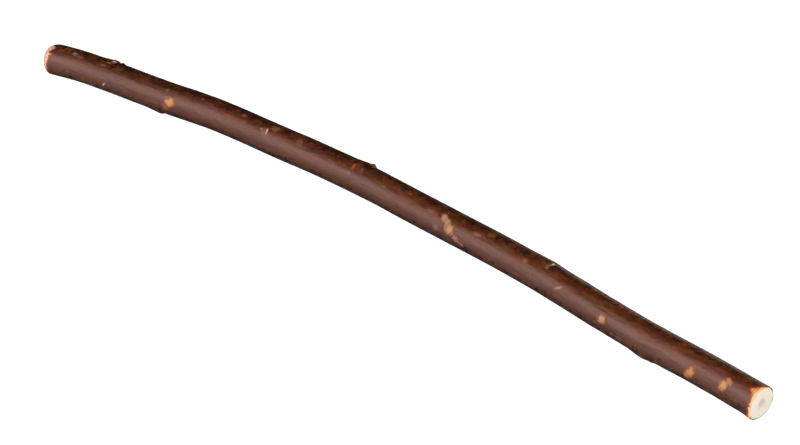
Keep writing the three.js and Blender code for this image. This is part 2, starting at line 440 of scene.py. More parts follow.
# Where each point is on the unit blank: its station, and its clock angle.
blank = add(grow, "ShaderNodeSeparateXYZ", {0: add(grow, "GeometryNodeInputPosition")})
station = blank.outputs["X"]
left = add(grow, "ShaderNodeMath", {0: blank.outputs["Y"], 1: -1.0}, operation="MULTIPLY")
clock = add(grow, "ShaderNodeMath", {0: left, 1: blank.outputs["Z"]}, operation="ARCTAN2")
flat = add(grow, "ShaderNodeCombineXYZ", {"Y": blank.outputs["Y"], "Z": blank.outputs["Z"]})
share = add(grow, "ShaderNodeVectorMath", {0: flat}, operation="LENGTH").outputs["Value"]
out_way = add(grow, "ShaderNodeVectorMath", {0: flat}, operation="NORMALIZE")
skin_out = add(grow, "ShaderNodeVectorMath", {0: out_way, "Scale": given["Base radius"]}, operation="SCALE")
along = add(grow, "ShaderNodeCombineXYZ", {"X": station})
skin_place = add(grow, "ShaderNodeVectorMath", {0: along, 1: skin_out}, operation="ADD")

# The nearest joint and the nearest patch, and where this point is measured from each.
nearest = {}
for name, keys in (("Joints", ["at", "clock", "ramp", "drop", "spread", "height", "lip", "bud", "bud_at"]),
                   ("Patches", ["at", "clock", "long", "wide", "gone", "lean", "colour"])):
    cloud = add(grow, "GeometryNodeObjectInfo", {"Object": given[name]}).outputs["Geometry"]
    index = add(grow, "GeometryNodeSampleNearest", {"Geometry": cloud, "Sample Position": skin_place})
    for key in keys:
        data_type = "FLOAT_COLOR" if key == "colour" else "FLOAT"
        value = add(grow, "GeometryNodeInputNamedAttribute", {"Name": key}, data_type=data_type)
        nearest[name, key] = add(grow, "GeometryNodeSampleIndex",
                                 {"Geometry": cloud, "Value": value, "Index": index},
                                 data_type=data_type)


def turned_from(angle):
    """How far round the twig a point is from this clock angle, up to half a turn either way."""
    behind = add(grow, "ShaderNodeMath", {0: clock, 1: angle}, operation="SUBTRACT")
    return add(grow, "ShaderNodeMath", {0: behind, 1: math.pi, 2: -math.pi}, operation="WRAP")


place_from = {}
for name in ("Joints", "Patches"):
    ahead = add(grow, "ShaderNodeMath", {0: station, 1: nearest[name, "at"]}, operation="SUBTRACT")
    place_from[name] = (ahead, turned_from(nearest[name, "clock"]))

# The joint's swelling: a slow rise on the base side and a short fall on the tip side.
ahead, turn = place_from["Joints"]
ramp_start = add(grow, "ShaderNodeMath", {0: nearest["Joints", "ramp"], 1: -1.0}, operation="MULTIPLY")
rise = add(grow, "ShaderNodeMapRange", {"Value": ahead, "From Min": ramp_start, "From Max": 0.0},
           interpolation_type="SMOOTHSTEP")
fall = add(grow, "ShaderNodeMapRange",
           {"Value": ahead, "From Min": 0.0, "From Max": nearest["Joints", "drop"],
            "To Min": 1.0, "To Max": 0.0}, interpolation_type="SMOOTHSTEP")
off_centre = add(grow, "ShaderNodeMath", {0: turn}, operation="ABSOLUTE")
around = add(grow, "ShaderNodeMapRange",
             {"Value": off_centre, "From Min": 0.0, "From Max": nearest["Joints", "spread"],
              "To Min": 1.0, "To Max": 0.0}, interpolation_type="SMOOTHSTEP")
swelling = nearest["Joints", "height"]
for factor in (rise, fall, around):
    swelling = add(grow, "ShaderNodeMath", {0: swelling, 1: factor}, operation="MULTIPLY")

# The leaf scar is a shallow oval with a raised lip on the crest, and the bud's stump is a
# small dome on it or past it. Their half sizes are millimetres along the twig and around it.
MIDDLING_RADIUS_MM = 7.3
SCAR_HALF_SIZES = (1.3, 2.2)
BUD_HALF_SIZES = (1.5, 1.6)
around_mm = add(grow, "ShaderNodeMath", {0: turn, 1: MIDDLING_RADIUS_MM}, operation="MULTIPLY")
ahead_mm = add(grow, "ShaderNodeMath", {0: ahead, 1: 1 / MM}, operation="MULTIPLY")
joint_place = add(grow, "ShaderNodeCombineXYZ",
                  {"X": ahead_mm, "Y": around_mm, "Z": nearest["Joints", "height"]})


def oval(centre, half_long, half_wide):
    """0 at the middle of an oval on the joint and 1 at its edge."""
    middle = add(grow, "ShaderNodeCombineXYZ", {"X": centre})
    moved = add(grow, "ShaderNodeVectorMath", {0: joint_place, 1: middle}, operation="SUBTRACT")
    scaled = add(grow, "ShaderNodeVectorMath", {0: moved, 1: (1 / half_long, 1 / half_wide, 0)},
                 operation="MULTIPLY")
    return add(grow, "ShaderNodeVectorMath", {0: scaled}, operation="LENGTH").outputs["Value"]


scar_oval = oval(0.1, *SCAR_HALF_SIZES)
lip = add(grow, "ShaderNodeMapRange", {"Value": scar_oval, "From Min": 0.55, "From Max": 1.0},
          interpolation_type="SMOOTHSTEP")
lip_fall = add(grow, "ShaderNodeMapRange",
               {"Value": scar_oval, "From Min": 1.0, "From Max": 1.45,
                "To Min": nearest["Joints", "lip"], "To Max": 0.0}, interpolation_type="SMOOTHSTEP")
lip_height = add(grow, "ShaderNodeMath", {0: lip, 1: lip_fall}, operation="MULTIPLY")
bud_oval = oval(nearest["Joints", "bud_at"], *BUD_HALF_SIZES)
bud_height = add(grow, "ShaderNodeMapRange",
                 {"Value": bud_oval, "From Min": 0.2, "From Max": 1.0,
                  "To Min": nearest["Joints", "bud"], "To Max": 0.0}, interpolation_type="SMOOTHSTEP")
joint_detail = add(grow, "ShaderNodeMath", {0: lip_height, 1: bud_height}, operation="ADD")

# How far out of each patch the point is: under 1 is inside it. Its marks have faded out before
# the next patch is nearer.
ahead, turn = place_from["Patches"]
arc = add(grow, "ShaderNodeMath", {0: turn, 1: given["Base radius"]}, operation="MULTIPLY")
from_patch = add(grow, "ShaderNodeCombineXYZ", {"X": ahead, "Y": arc})
leaned = add(grow, "ShaderNodeVectorRotate",
             {"Vector": from_patch, "Angle": nearest["Patches", "lean"]}, rotation_type="Z_AXIS")
patch_half = add(grow, "ShaderNodeCombineXYZ", {"X": nearest["Patches", "long"],
                                                "Y": nearest["Patches", "wide"], "Z": 1.0})
patch_place = add(grow, "ShaderNodeVectorMath", {0: leaned, 1: patch_half}, operation="DIVIDE")
patch_reach = add(grow, "ShaderNodeVectorMath", {0: patch_place}, operation="LENGTH").outputs["Value"]
patch_near = add(grow, "ShaderNodeMapRange",
                 {"Value": patch_reach, "From Min": 1.75, "From Max": 1.35}, interpolation_type="SMOOTHSTEP")

# Bark chipped off the cut rims, measured in mm of bare inner bark past the chip's edge. Each
# chip has its clock angle and half width in degrees, and how many mm it reaches from the cut.
# Between the chips the bark is off for so many mm too, or reaches the cut where that is under
# 0, and all along it is nibbled a little less or more.
NIBBLE_SIZE = 2.381
NIBBLE_LESS = 0.25
NIBBLE_MORE = 0.45
CHIPS = {"tip": [(22, 26, 3.0), (60, 100, 0.6), (112, 22, 0.8), (-165, 14, 1.6)],
         "base": [(62, 95, 2.2), (42, 6, 2.0), (12, 22, 2.4), (-60, 40, 1.2), (150, 30, 0.8)]}
OFF_BETWEEN = {"tip": -0.1, "base": 3.3}
NOISE_SPAN = {"From Min": 0.3, "From Max": 0.7}  # nearly all of a noise lies between these
seeded = add(grow, "ShaderNodeVectorMath", {0: skin_place, "Scale": 1 / MM}, operation="SCALE")
seed_shift = add(grow, "ShaderNodeCombineXYZ", {"X": given["Seed"], "Y": given["Seed"]})
bark_mm = add(grow, "ShaderNodeVectorMath", {0: seeded, 1: seed_shift}, operation="ADD")
rim_noise = add(grow, "ShaderNodeTexNoise", {"Vector": bark_mm, "Scale": 1 / NIBBLE_SIZE, "Detail": 4.0})
from_ends = {"tip": add(grow, "ShaderNodeMath", {0: given["Length"], 1: station}, operation="SUBTRACT"),
             "base": station}
bare_rims = []
for end, from_end in from_ends.items():
    plain = OFF_BETWEEN[end]
    reach = add(grow, "ShaderNodeMapRange",
                {"Value": rim_noise, "From Min": 0.35, "From Max": 0.65,
                 "To Min": plain - NIBBLE_LESS, "To Max": plain + NIBBLE_MORE})
    for chip_clock, half_width, length in CHIPS[end]:
        away = add(grow, "ShaderNodeMath", {0: turned_from(chip_clock * DEGREE)}, operation="ABSOLUTE")
        chip = add(grow, "ShaderNodeMapRange",
                   {"Value": away, "From Min": 0.0, "From Max": half_width * DEGREE,
                    "To Min": length, "To Max": 0.0})
        reach = add(grow, "ShaderNodeMath", {0: reach, 1: chip}, operation="ADD")
    end_mm = add(grow, "ShaderNodeMath", {0: from_end, 1: 1 / MM}, operation="MULTIPLY")
    bare_rims.append(add(grow, "ShaderNodeMath", {0: reach, 1: end_mm}, operation="SUBTRACT"))
peel = add(grow, "ShaderNodeMath", {0: bare_rims[0], 1: bare_rims[1]}, operation="MAXIMUM")

# Bark relief: long shallow wrinkles, broad unevenness, and a step down where bark is gone. The
# sizes are millimetres across the twig, and along it the first two are 4.5 times as long.
WRINKLE_SIZE = 1.111
SWELL_SIZE = 6.25
SWELL_DEPTH = 0.11 * MM
RAGGED_SIZE = 0.9091
stretched = add(grow, "ShaderNodeVectorMath", {0: bark_mm, 1: (0.22, 1.0, 1.0)}, operation="MULTIPLY")
fine_noise = add(grow, "ShaderNodeTexNoise", {"Vector": stretched, "Scale": 1 / WRINKLE_SIZE,
                                              "Detail": 5.0, "Roughness": 0.62})
wrinkle = add(grow, "ShaderNodeMapRange",
              {"Value": fine_noise, **NOISE_SPAN, "To Min": -1.0, "To Max": 1.0})
wrinkle = add(grow, "ShaderNodeMath", {0: wrinkle, 1: given["Wrinkle depth"]}, operation="MULTIPLY")
broad_noise = add(grow, "ShaderNodeTexNoise", {"Vector": stretched, "Scale": 1 / SWELL_SIZE, "Detail": 2.0})
broad = add(grow, "ShaderNodeMapRange",
            {"Value": broad_noise, **NOISE_SPAN, "To Min": -SWELL_DEPTH, "To Max": SWELL_DEPTH})
ragged = add(grow, "ShaderNodeTexNoise", {"Vector": bark_mm, "Scale": 1 / RAGGED_SIZE, "Detail": 3.0})
ragged_shift = add(grow, "ShaderNodeMapRange",
                   {"Value": ragged, **NOISE_SPAN, "To Min": -0.22, "To Max": 0.22})
ragged_reach = add(grow, "ShaderNodeMath", {0: patch_reach, 1: ragged_shift}, operation="ADD")
patch_inside = add(grow, "ShaderNodeMapRange",
                   {"Value": ragged_reach, "From Min": 0.82, "From Max": 1.08, "To Min": 1.0,
                    "To Max": 0.0}, interpolation_type="SMOOTHSTEP")
patch_depth = add(grow, "ShaderNodeMapRange",
                  {"Value": nearest["Patches", "gone"], "From Min": 0.6, "From Max": 1.0})
patch_sunk = patch_inside
for factor in (patch_depth, patch_near):
    patch_sunk = add(grow, "ShaderNodeMath", {0: patch_sunk, 1: factor}, operation="MULTIPLY")
rim_sunk = add(grow, "ShaderNodeMapRange", {"Value": peel, "From Min": -0.1, "From Max": 0.3},
               interpolation_type="SMOOTHSTEP")
sunk = add(grow, "ShaderNodeMath", {0: patch_sunk, 1: rim_sunk}, operation="MAXIMUM")
sunk = add(grow, "ShaderNodeMath", {0: sunk, 1: given["Bark thickness"]}, operation="MULTIPLY")

# The saw bruised the bark outwards on one side of the tip's rim, and the base end is worn
# thinner on one side. Clock and spread are degrees, and stretch and height are millimetres.
END_DENTS = {"tip": dict(clock=118, stretch=5, spread=60, height=0.6),
             "base": dict(clock=-40, stretch=8, spread=80, height=-1.4)}
dents = []
for end, dent in END_DENTS.items():
    dent_along = add(grow, "ShaderNodeMapRange",
                     {"Value": from_ends[end], "From Min": dent["stretch"] * MM, "From Max": 0.0},
                     interpolation_type="SMOOTHSTEP")
    away = add(grow, "ShaderNodeMath", {0: turned_from(dent["clock"] * DEGREE)}, operation="ABSOLUTE")
    dent_around = add(grow, "ShaderNodeMapRange",
                      {"Value": away, "From Min": 0.0, "From Max": dent["spread"] * DEGREE,
                       "To Min": dent["height"] * MM, "To Max": 0.0}, interpolation_type="SMOOTHSTEP")
    dents.append(add(grow, "ShaderNodeMath", {0: dent_along, 1: dent_around}, operation="MULTIPLY"))

# The finished radius, and the finished straight twig.
taper = add(grow, "ShaderNodeMapRange",
            {"Value": station, "From Min": 0.0, "From Max": given["Length"],
             "To Min": given["Base radius"], "To Max": given["Tip radius"]})
radius = taper
for part in (swelling, joint_detail, wrinkle, broad, *dents):
    radius = add(grow, "ShaderNodeMath", {0: radius, 1: part}, operation="ADD")
radius = add(grow, "ShaderNodeMath", {0: radius, 1: sunk}, operation="SUBTRACT")

# The cut faces are sawn, so they are not quite flat, and the pith, about a seventh as thick as
# the twig, has shrunk back a little. Outwards is towards the base on the base's half of the
# twig, and towards the tip on the other.
SAW_MARK_SIZE = 1.524 * MM
SAW_MARK_DEPTH = 0.05 * MM
PITH_SHRUNK = 0.22 * MM
saw_noise = add(grow, "ShaderNodeTexNoise",
                {"Vector": flat, "Scale": BASE_RADIUS / SAW_MARK_SIZE, "Detail": 4.0})
saw_relief = add(grow, "ShaderNodeMapRange",
                 {"Value": saw_noise, **NOISE_SPAN, "To Min": -SAW_MARK_DEPTH, "To Max": SAW_MARK_DEPTH})
pith_sunk = add(grow, "ShaderNodeMapRange",
                {"Value": share, "From Min": 0.10, "From Max": 0.17, "To Min": -PITH_SHRUNK, "To Max": 0.0},
                interpolation_type="SMOOTHSTEP")
inner = add(grow, "ShaderNodeMapRange", {"Value": share, "From Min": 0.9, "From Max": 0.97,
                                         "To Min": 1.0, "To Max": 0.0})
end_relief = add(grow, "ShaderNodeMath", {0: saw_relief, 1: pith_sunk}, operation="ADD")
end_relief = add(grow, "ShaderNodeMath", {0: end_relief, 1: inner}, operation="MULTIPLY")
outwards = add(grow, "ShaderNodeMapRange",
               {"Value": station, "From Min": TWIG_LENGTH / 2 - MM, "From Max": TWIG_LENGTH / 2 + MM,
                "To Min": -1.0, "To Max": 1.0})
end_shift = add(grow, "ShaderNodeMath", {0: end_relief, 1: outwards}, operation="MULTIPLY")

# Bend it along the pith: across the route on the level, and up at right angles to both.
pith_geometry = add(grow, "GeometryNodeObjectInfo", {"Object": given["Pith"]}).outputs["Geometry"]
on_pith = add(grow, "GeometryNodeSampleCurve", {"Curves": pith_geometry, "Length": station}, mode="LENGTH")
heading = on_pith.outputs["Tangent"]
outward = add(grow, "ShaderNodeVectorMath", {0: (0, 0, 1), 1: heading}, operation="CROSS_PRODUCT")
outward = add(grow, "ShaderNodeVectorMath", {0: outward}, operation="NORMALIZE")
above = add(grow, "ShaderNodeVectorMath", {0: heading, 1: outward}, operation="CROSS_PRODUCT")
final = on_pith.outputs["Position"]
for direction, amount in ((outward, blank.outputs["Y"]), (above, blank.outputs["Z"])):
    reach = add(grow, "ShaderNodeMath", {0: amount, 1: radius}, operation="MULTIPLY")
    shift = add(grow, "ShaderNodeVectorMath", {0: direction, "Scale": reach}, operation="SCALE")
    final = add(grow, "ShaderNodeVectorMath", {0: final, 1: shift}, operation="ADD")
for end, inwards in (("base", 1.0), ("tip", -1.0)):
    cut = END_CUTS[end]
    weight = add(grow, "ShaderNodeMapRange",
                 {"Value": from_ends[end], "From Min": CUT_STRETCH, "From Max": 0.0},
                 interpolation_type="SMOOTHSTEP")
    lean_way = Vector(out_at(math.radians(cut["clock"]))) * cut["skew"]
    lean = add(grow, "ShaderNodeVectorMath", {0: flat, 1: lean_way}, operation="DOT_PRODUCT").outputs["Value"]
    depth = add(grow, "ShaderNodeMath", {0: lean, 1: cut["inset"]}, operation="ADD")
    depth = add(grow, "ShaderNodeMath", {0: depth, 1: weight}, operation="MULTIPLY")
    end_shift = add(grow, "ShaderNodeMath", {0: depth, 1: inwards, 2: end_shift},
                    operation="MULTIPLY_ADD")
shift = add(grow, "ShaderNodeVectorMath", {0: heading, "Scale": end_shift}, operation="SCALE")
final = add(grow, "ShaderNodeVectorMath", {0: final, 1: shift}, operation="ADD")

# Keep what the materials read, while the points are still on the straight blank.
geometry = given["Geometry"]
kept = {
    "straight": ("FLOAT_VECTOR", bark_mm),
    "share": ("FLOAT", share),
    "joint place": ("FLOAT_VECTOR", joint_place),
    "patch place": ("FLOAT_VECTOR", patch_place),
    "patch gone": ("FLOAT", nearest["Patches", "gone"]),
    "patch near": ("FLOAT", patch_near),
    "patch colour": ("FLOAT_COLOR", nearest["Patches", "colour"]),
    "peel": ("FLOAT", peel),
    "face place": ("FLOAT_VECTOR", flat),
    "heading": ("FLOAT_VECTOR", heading),
}
for name, (data_type, value) in kept.items():
    geometry = add(grow, "GeometryNodeStoreNamedAttribute",
                   {"Geometry": geometry, "Name": name, "Value": value},
                   data_type=data_type, domain="POINT")
geometry = add(grow, "GeometryNodeSetPosition", {"Geometry": geometry, "Position": final})
geometry = add(grow, "GeometryNodeRealizeInstances", {"Geometry": geometry})
geometry = add(grow, "GeometryNodeSetMaterial", {"Geometry": geometry, "Material": given["Bark"]})
is_cut = add(grow, "GeometryNodeInputNamedAttribute", {"Name": "cut face"}, data_type="BOOLEAN")
geometry = add(grow, "GeometryNodeSetMaterial",
               {"Geometry": geometry, "Selection": is_cut, "Material": given["Cut wood"]})
add(grow, "NodeGroupOutput", {"Geometry": geometry})


# ---- The twig's bark ------------------------------------------------------------------------
# Smooth young bark of a hardwood shoot, satin from its thin waxy skin. It gives the eye a deep
# chestnut with rust, ochre and umber streaks along the grain, and tan where it is rubbed off.

# Sizes across the twig in millimetres. Along it they are twice as long, and the streaks seven
# times.
BLOTCH_SIZE = 3.3333
STREAK_SIZE = 1.1111
GRAIN_SIZE = 0.76923
CLOUD_SIZE = 7.6923
DRIFT_SIZE = 3.6


def new_material(name):
    """A new material, and its node tree with nothing in it."""
    material = bpy.data.materials.new(name)
    material.use_nodes = True
    material.node_tree.nodes.clear()
    return material, material.node_tree


def colour_stops(ramp, stops):
    """Give a colour ramp these hex colours at these places."""
    elements = ramp.color_ramp.elements
    for element, (place, code) in ((elements[0], stops[0]), (elements[1], stops[-1])):
        element.position = place
        element.color = srgb(code)
    for place, code in stops[1:-1]:
        elements.new(place).color = srgb(code)


bark, tree = new_material("satin young bark")
straight, round_place, patch_place, joint_place = (
    add(tree, "ShaderNodeAttribute", attribute_name=name).outputs["Vector"]
    for name in ("straight", "face place", "patch place", "joint place"))
from_base = add(tree, "ShaderNodeSeparateXYZ", {0: straight}).outputs["X"]  # in mm, and SEED more
lengthwise = add(tree, "ShaderNodeVectorMath", {0: straight, 1: (0.5, 1, 1)}, operation="MULTIPLY")
streaked = add(tree, "ShaderNodeVectorMath", {0: straight, 1: (0.14, 1, 1)}, operation="MULTIPLY")
blotches = add(tree, "ShaderNodeTexNoise",
               {"Vector": lengthwise, "Scale": 1 / BLOTCH_SIZE, "Detail": 7.0, "Roughness": 0.62})
streaks = add(tree, "ShaderNodeTexNoise",
              {"Vector": streaked, "Scale": 1 / STREAK_SIZE, "Detail": 5.0, "Roughness": 0.6})
grain = add(tree, "ShaderNodeTexNoise",
            {"Vector": lengthwise, "Scale": 1 / GRAIN_SIZE, "Detail": 4.0, "Roughness": 0.6})

ground = add(tree, "ShaderNodeValToRGB", {0: blotches})
colour_stops(ground, [(0.34, "#341502"), (0.5, "#451b05"), (0.68, "#56260c")])
# What lies over the ground colour, from the lowest up: its share at a point, and its colour.
coats = []

# A mauve sheen is painted on the side that faces front and a little down, as a painted
# reflection of the pale floor.
PAINTED_SHEEN_SIDE = math.radians(105)
painted_sheen_facing = add(tree, "ShaderNodeVectorMath", {0: round_place, 1: out_at(PAINTED_SHEEN_SIDE)},
                   operation="DOT_PRODUCT").outputs["Value"]
painted_floor_sheen = add(tree, "ShaderNodeMapRange", {"Value": painted_sheen_facing, "From Min": 0.35, "From Max": 0.85,
                                         "To Max": 0.85}, interpolation_type="SMOOTHSTEP")
coats.append((painted_floor_sheen, srgb("#4d3027")))

# The side where the light falls is painted lighter, and it winds a little round the twig from
# the base to the tip. Away from it the bark carries painted shade, eased on the far back, and
# is also weathered, with more mottles.
LIT_CLEAN_SIDE = math.radians(60)
WOUND_AT_BASE = math.radians(-8)
WOUND_AT_TIP = math.radians(11)
wound = add(tree, "ShaderNodeMapRange", {"Value": from_base, "From Max": TWIG_LENGTH / MM,
                                         "To Min": WOUND_AT_BASE, "To Max": WOUND_AT_TIP})
wound_place = add(tree, "ShaderNodeVectorRotate", {"Vector": round_place, "Angle": wound},
                  rotation_type="X_AXIS")
facing = add(tree, "ShaderNodeVectorMath", {0: wound_place, 1: out_at(LIT_CLEAN_SIDE)},
             operation="DOT_PRODUCT").outputs["Value"]
facing_shift = add(tree, "ShaderNodeMapRange",
                   {"Value": grain, **NOISE_SPAN, "To Min": -0.22, "To Max": 0.22})
facing = add(tree, "ShaderNodeMath", {0: facing, 1: facing_shift}, operation="ADD")
# Painted shade and real weathering together: none on the lit side, more away from it.
shade_and_weathering = add(tree, "ShaderNodeMapRange", {"Value": facing, "From Min": 0.93, "From Max": 0.64})
shade_eased_behind = add(tree, "ShaderNodeMapRange", {"Value": facing, "From Min": -0.2, "From Max": -0.75,
                                             "To Min": 1.0, "To Max": 0.35})
shade_and_weathering = add(tree, "ShaderNodeMath", {0: shade_and_weathering, 1: shade_eased_behind}, operation="MULTIPLY")

# Mottles in the skin: noise seed, size in mm, how rare on the lit clean side and on the shaded,
# weathered one, strength and colour. They are a little shorter along the twig than round it.
MOTTLES = [(5.0, 2.2, 0.68, 0.52, 0.78, "#7c3207"), (2.0, 3.1, 0.70, 0.47, 0.97, "#100500"),
           (9.0, 1.8, 0.72, 0.56, 0.85, "#6b4616"), (14.0, 1.0, 0.66, 0.57, 0.75, "#90695a")]
mottled = add(tree, "ShaderNodeVectorMath", {0: straight, 1: (1.1, 0.8, 0.8)}, operation="MULTIPLY")
for seed, size, rarity, shaded_side_rarity, strength, code in MOTTLES:
    mottle = add(tree, "ShaderNodeTexNoise",
                 {"Vector": mottled, "W": seed, "Scale": 1 / size, "Detail": 6.0, "Roughness": 0.74},
                 noise_dimensions="4D")
    starts_at = add(tree, "ShaderNodeMapRange", {"Value": shade_and_weathering, "To Min": rarity,
                                                 "To Max": shaded_side_rarity})
    above = add(tree, "ShaderNodeMath", {0: mottle, 1: starts_at}, operation="SUBTRACT")
    mottle_share = add(tree, "ShaderNodeMapRange", {"Value": above, "From Max": 0.06, "To Max": strength})
    coats.append((mottle_share, srgb(code)))
streak_share = add(tree, "ShaderNodeMapRange", {"Value": streaks, "From Min": 0.54, "From Max": 0.75,
                                                "To Max": 0.45})
coats.append((streak_share, srgb("#2a130a")))
# Painted shade: near-black laid over the bark away from the lit side, in cloudy patches.
cloudy = add(tree, "ShaderNodeTexNoise", {"Vector": lengthwise, "Scale": 1 / CLOUD_SIZE, "Detail": 3.0})
cloudy = add(tree, "ShaderNodeMapRange", {"Value": cloudy, "From Min": 0.38, "From Max": 0.62,
                                          "To Min": 0.05, "To Max": 0.62})
painted_shade = add(tree, "ShaderNodeMath", {0: shade_and_weathering, 1: cloudy}, operation="MULTIPLY")
coats.append((painted_shade, srgb("#180800")))

# The bark drifts between ochre and plum over a few millimetres.
drift = add(tree, "ShaderNodeTexNoise",
            {"Vector": lengthwise, "W": 3.0, "Scale": 1 / DRIFT_SIZE, "Detail": 5.0, "Roughness": 0.6},
            noise_dimensions="4D")
for full_at, starts_at, strength, code in ((0.66, 0.51, 0.40, "#462c04"), (0.35, 0.48, 0.30, "#47131f")):
    drift_share = add(tree, "ShaderNodeMapRange", {"Value": drift, "From Min": starts_at,
                                                   "From Max": full_at, "To Max": strength})
    coats.append((drift_share, srgb(code)))

# Rubbed and stained patches, with a soft ragged edge and a rusty halo of thinned bark round them.
patch_near = add(tree, "ShaderNodeAttribute", attribute_name="patch near").outputs["Fac"]
patch_gone = add(tree, "ShaderNodeAttribute", attribute_name="patch gone").outputs["Fac"]
patch_colour = add(tree, "ShaderNodeAttribute", attribute_name="patch colour").outputs["Color"]
patch_reach = add(tree, "ShaderNodeVectorMath", {0: patch_place}, operation="LENGTH").outputs["Value"]
patch_gone = add(tree, "ShaderNodeMath", {0: patch_gone, 1: patch_near}, operation="MULTIPLY")
# The ragged edges break up every 0.8 mm along the twig and every 1.4 mm round it.
EDGE_SIZE = 0.83333
across = add(tree, "ShaderNodeVectorMath", {0: straight, 1: (1, 0.6, 0.6)}, operation="MULTIPLY")
ragged = add(tree, "ShaderNodeTexNoise",
             {"Vector": across, "Scale": 1 / EDGE_SIZE, "Detail": 6.0, "Roughness": 0.62})
ragged_shift = add(tree, "ShaderNodeMapRange",
                   {"Value": ragged, **NOISE_SPAN, "To Min": -0.32, "To Max": 0.32})
ragged_reach = add(tree, "ShaderNodeMath", {0: patch_reach, 1: ragged_shift}, operation="ADD")
halo = add(tree, "ShaderNodeMapRange",
           {"Value": ragged_reach, "From Min": 0.9, "From Max": 1.45, "To Min": 0.7, "To Max": 0.0},
           interpolation_type="SMOOTHSTEP")
bared = add(tree, "ShaderNodeMapRange", {"Value": patch_gone, "From Min": 0.5, "From Max": 0.9})
halo = add(tree, "ShaderNodeMath", {0: halo, 1: bared}, operation="MULTIPLY")
coats.append((halo, srgb("#5f2a12")))
inside = add(tree, "ShaderNodeMapRange",
             {"Value": ragged_reach, "From Min": 0.40, "From Max": 1.25, "To Min": 1.0, "To Max": 0.0},
             interpolation_type="SMOOTHSTEP")
inside = add(tree, "ShaderNodeMath", {0: inside, 1: patch_gone}, operation="MULTIPLY")
worn_share = add(tree, "ShaderNodeMapRange", {"Value": ragged_reach, "From Min": 0.4, "From Max": 1.0,
                                              "To Max": 0.55})
worn_share = add(tree, "ShaderNodeMath", {0: worn_share, 1: bared}, operation="MULTIPLY")
patch_colour = add(tree, "ShaderNodeMix", {"Factor": worn_share, "A": patch_colour, "B": srgb("#8f5630")},
                   data_type="RGBA")
coats.append((inside, patch_colour))

# Inner bark bared at the chipped rims, redder where the bark thins towards it. It is paler at
# the very rim of the tip, and at the base it is pinker and turns grey-brown at its very rim.
# Each tone comes or goes over a stretch, in millimetres from the base.
TIP_RIM = (TWIG_LENGTH / MM - 0.8, TWIG_LENGTH / MM - 0.4)
BASE_TONE_FADES = (23.0, 33.0)
# The base's bared rim turns grey-brown over this stretch.
GREY_BASE_RIM_FADES = (1.5, 2.6)
peel = add(tree, "ShaderNodeAttribute", attribute_name="peel").outputs["Fac"]
rim_shift = add(tree, "ShaderNodeMapRange", {"Value": ragged, **NOISE_SPAN, "To Min": -0.3, "To Max": 0.3})
peel_edge = add(tree, "ShaderNodeMath", {0: peel, 1: rim_shift}, operation="ADD")
peel_halo = add(tree, "ShaderNodeMapRange", {"Value": peel_edge, "From Min": -1.4, "From Max": -0.05,
                                             "To Max": 0.9}, interpolation_type="SMOOTHSTEP")
coats.append((peel_halo, srgb("#7a3310")))
peeled = add(tree, "ShaderNodeMapRange", {"Value": peel_edge, "From Min": -0.05, "From Max": 0.2},
             interpolation_type="SMOOTHSTEP")
inner_light = add(tree, "ShaderNodeMapRange", {"Value": ragged, "From Min": 0.35, "From Max": 0.65})
at_rim, at_base, grey_base_rim = (
    add(tree, "ShaderNodeMapRange", {"Value": from_base, "From Min": SEED + start, "From Max": SEED + end,
                                     "To Min": first, "To Max": last})
    for (start, end), first, last in ((TIP_RIM, 0.0, 1.0), (BASE_TONE_FADES, 1.0, 0.0),
                                      (GREY_BASE_RIM_FADES, 0.75, 0.0)))
inner_dark, inner_pale = (
    add(tree, "ShaderNodeMix", {"Factor": at_base, "A": srgb(tip_code), "B": srgb(base_code)},
        data_type="RGBA")
    for tip_code, base_code in (("#91592c", "#a07558"), ("#bb8452", "#cda48a")))
inner_tone = add(tree, "ShaderNodeMix", {"Factor": inner_light, "A": inner_dark, "B": inner_pale},
                 data_type="RGBA")
from_bark = add(tree, "ShaderNodeMapRange", {"Value": peel_edge, "From Min": 0.1, "From Max": 1.1,
                                             "To Min": 0.6, "To Max": 0.0})
for how_much, code in ((from_bark, "#84502c"), (at_rim, "#cb9665"), (grey_base_rim, "#6d5847")):
    inner_tone = add(tree, "ShaderNodeMix", {"Factor": how_much, "A": inner_tone, "B": srgb(code)},
                     data_type="RGBA")
coats.append((peeled, inner_tone))

# The leaf scars are corky and grey-brown.
scar_place = add(tree, "ShaderNodeVectorMath",
                 {0: joint_place, 1: (1 / SCAR_HALF_SIZES[0], 1 / SCAR_HALF_SIZES[1], 0)},
                 operation="MULTIPLY")
scar_reach = add(tree, "ShaderNodeVectorMath", {0: scar_place}, operation="LENGTH").outputs["Value"]
scar_edge = add(tree, "ShaderNodeMath", {0: scar_reach, 1: ragged_shift}, operation="ADD")
scar = add(tree, "ShaderNodeMapRange", {"Value": scar_edge, "From Min": 0.6, "From Max": 1.1,
                                        "To Min": 0.35, "To Max": 0.0}, interpolation_type="SMOOTHSTEP")
coats.append((scar, srgb("#655040")))

colour = ground
for how_much, tone in coats:
    colour = add(tree, "ShaderNodeMix", {"Factor": how_much, "A": colour, "B": tone}, data_type="RGBA")

